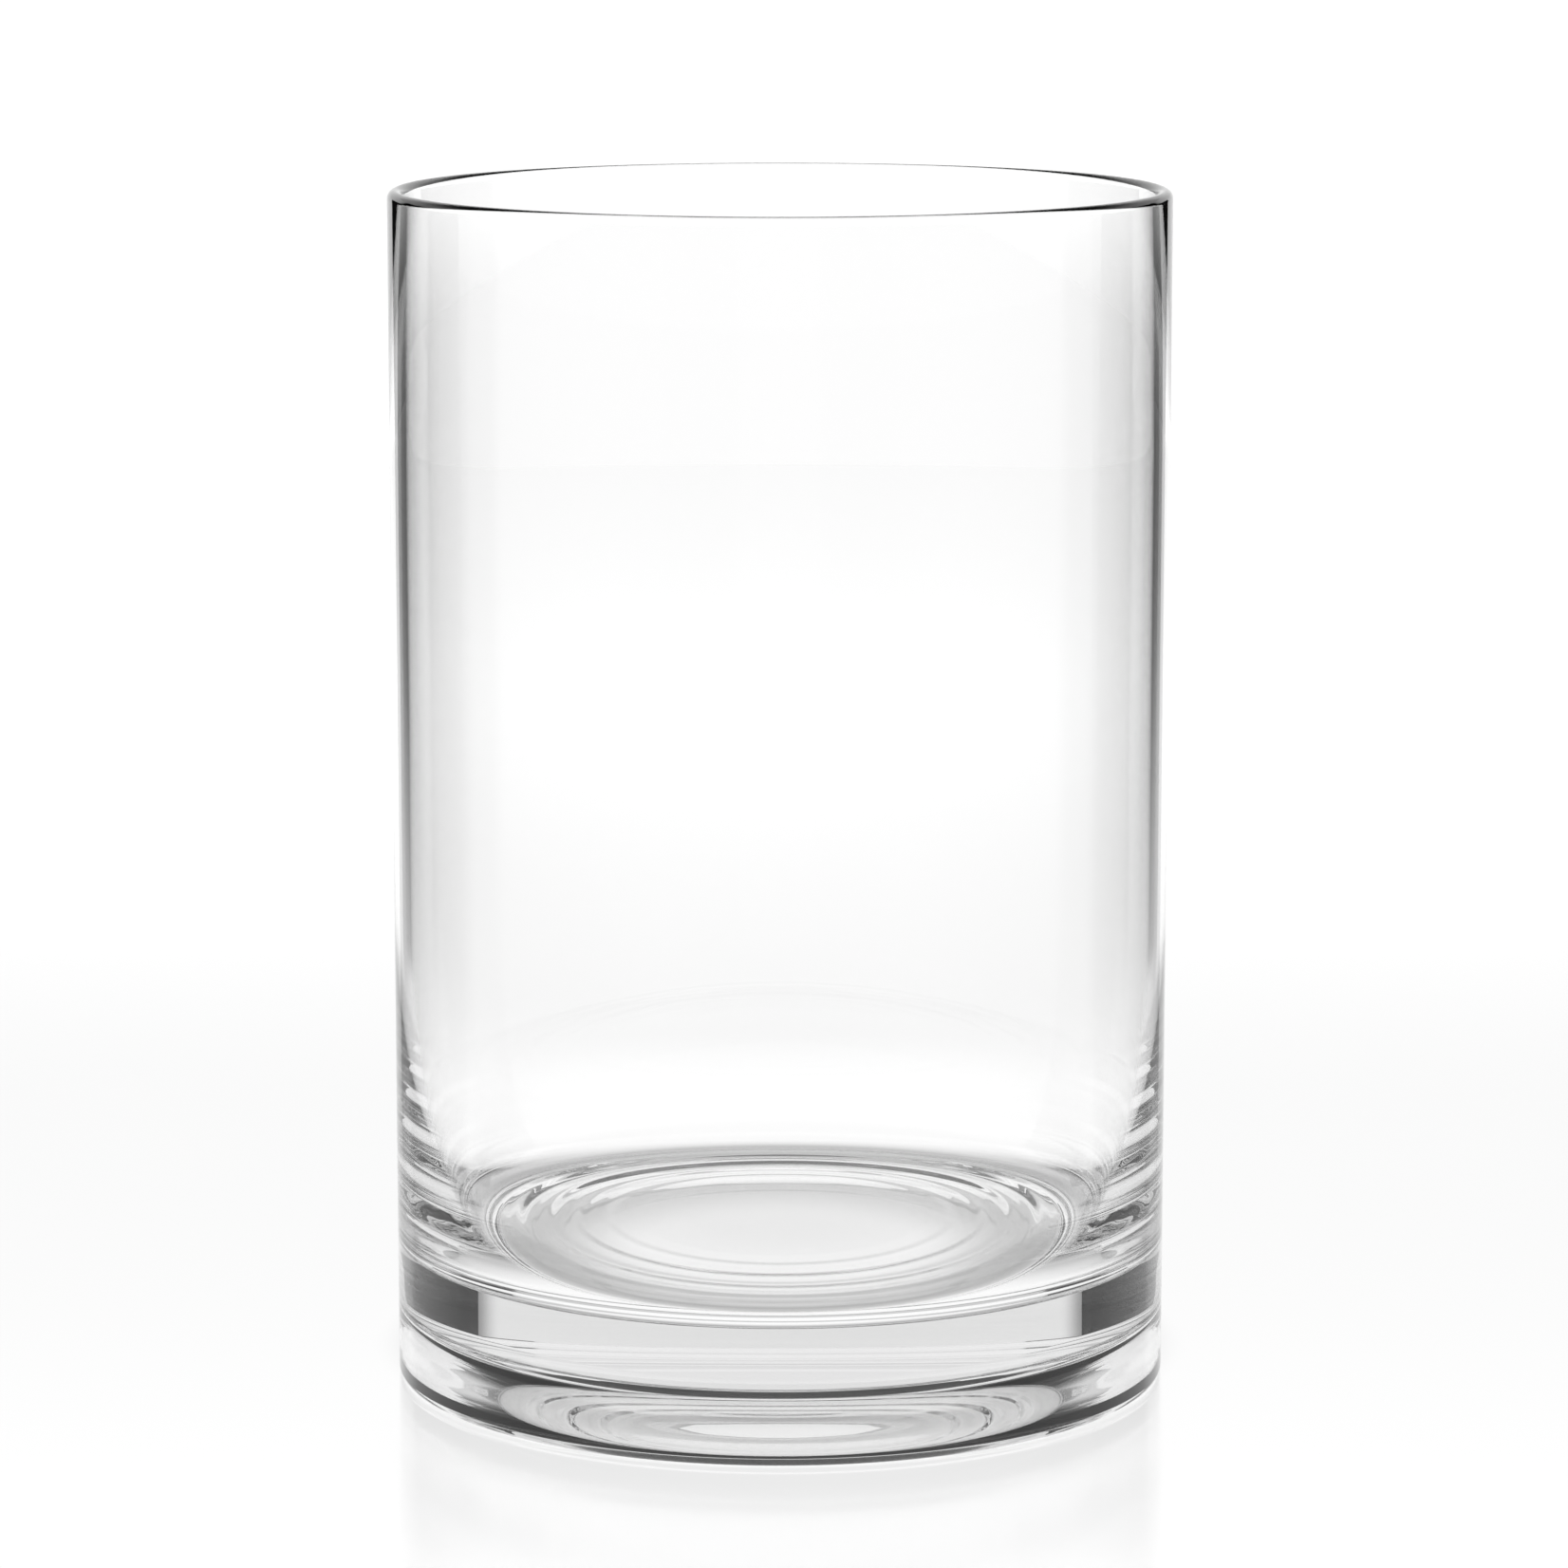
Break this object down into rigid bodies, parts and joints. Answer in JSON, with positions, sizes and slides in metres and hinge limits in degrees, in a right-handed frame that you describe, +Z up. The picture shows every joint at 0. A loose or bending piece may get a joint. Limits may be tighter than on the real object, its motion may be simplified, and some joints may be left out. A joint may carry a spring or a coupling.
{
  "type": "glass cylinder vase",
  "caption": "Clear glass cylinder vase for cut flowers: straight thin wall, rounded rim, thick rounded inner base, and a wide flat-topped recess under the foot.",
  "frame": {"origin": "centre of the foot, on the plane the vase stands on", "axes": "+Z up along the vase's axis, from the foot to the mouth; X and Y are any two level directions, because the vase is a body of revolution"},
  "size_m": [0.099, 0.099, 0.1525],
  "materials": {
    "clear_glass": "polished"
  },
  "bodies": {
    "root": {"glass_vase": "clear_glass"}
  },
  "joints": []
}
